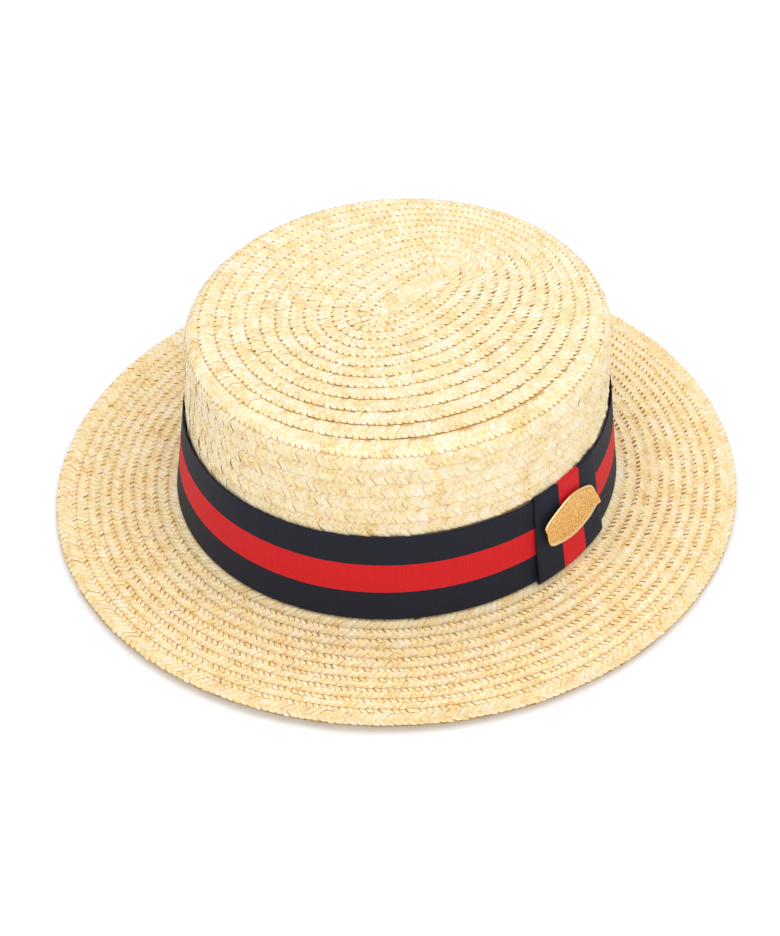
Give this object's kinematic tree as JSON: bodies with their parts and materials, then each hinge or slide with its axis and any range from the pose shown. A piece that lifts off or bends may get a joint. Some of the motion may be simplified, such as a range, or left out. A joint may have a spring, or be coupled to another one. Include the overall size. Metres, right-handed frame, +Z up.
{
  "type": "straw boater hat",
  "caption": "Flat-topped stiff straw hat with a level brim, a striped ribbon around the crown, an upright ribbon wrap over its join and a plain gold plate.",
  "frame": {"origin": "middle of the brim's footprint, on the surface that the rim rests on", "axes": "+Z up through the crown, the wearer looks along -Y, +Y to the back, +X to the wearer's left, where the wrap and plate are"},
  "size_m": [0.2874, 0.2992, 0.0933],
  "materials": {
    "straw": "plaited wheat straw, stiffened",
    "brim_straw": "plaited wheat straw, stiffened",
    "ribbon": "ribbed ribbon, navy with a red middle stripe",
    "wrap_ribbon": "ribbed ribbon, navy with a red middle stripe",
    "gold": "matt face with a polished rim"
  },
  "bodies": {
    "root": {"crown": "straw", "brim": "brim_straw", "ribbon_band": "ribbon", "ribbon_wrap": "wrap_ribbon", "badge": "gold"}
  },
  "joints": []
}
